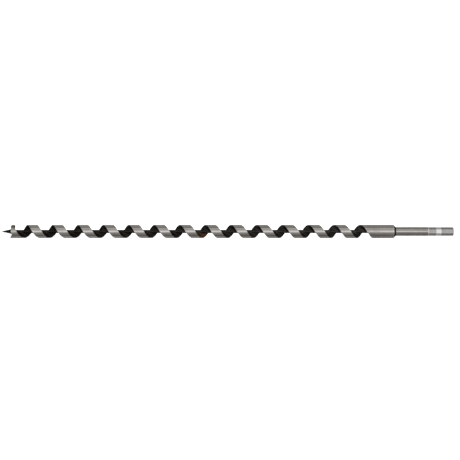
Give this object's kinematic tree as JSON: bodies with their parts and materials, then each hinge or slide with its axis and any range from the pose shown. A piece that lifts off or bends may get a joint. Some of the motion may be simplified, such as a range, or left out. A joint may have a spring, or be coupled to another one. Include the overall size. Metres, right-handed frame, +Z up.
{
  "type": "wood auger bit",
  "caption": "Single-flute wood auger bit with a threaded feed screw, one cutting lip, a scoring spur, an open spiral around a solid core, and a hex drive shank.",
  "frame": {"origin": "centre of the flat end face of the hex drive, on the bit's axis", "axes": "+X along the bit's axis from the feed screw towards the drive end, +Z up, one drive flat facing -Y"},
  "size_m": [0.62, 0.018, 0.018],
  "materials": {
    "ground_steel": "ground round, fine marks",
    "black_scale": "black forging scale, satin",
    "dark_chamfer": "dark turned chamfer",
    "shank_steel": "turned, satin",
    "hex_steel": "milled flats, satin"
  },
  "bodies": {
    "root": {"feed_screw": "black_scale", "cutting_head": "ground_steel", "cutting_lip": "ground_steel", "scoring_spur": "ground_steel", "twist_core": "black_scale", "flight_lead_in": "ground_steel", "flight_turn_01": "ground_steel", "flight_turn_02": "ground_steel", "flight_turn_03": "ground_steel", "flight_turn_04": "ground_steel", "flight_turn_05": "ground_steel", "flight_turn_06": "ground_steel", "flight_turn_07": "ground_steel", "flight_turn_08": "ground_steel", "flight_turn_09": "ground_steel", "flight_turn_10": "ground_steel", "flight_turn_11": "ground_steel", "flight_turn_12": "ground_steel", "flight_turn_13": "ground_steel", "flute_runout": "ground_steel", "collar": "ground_steel", "shoulder": "dark_chamfer", "round_shank": "shank_steel", "hex_drive": "hex_steel"}
  },
  "joints": []
}
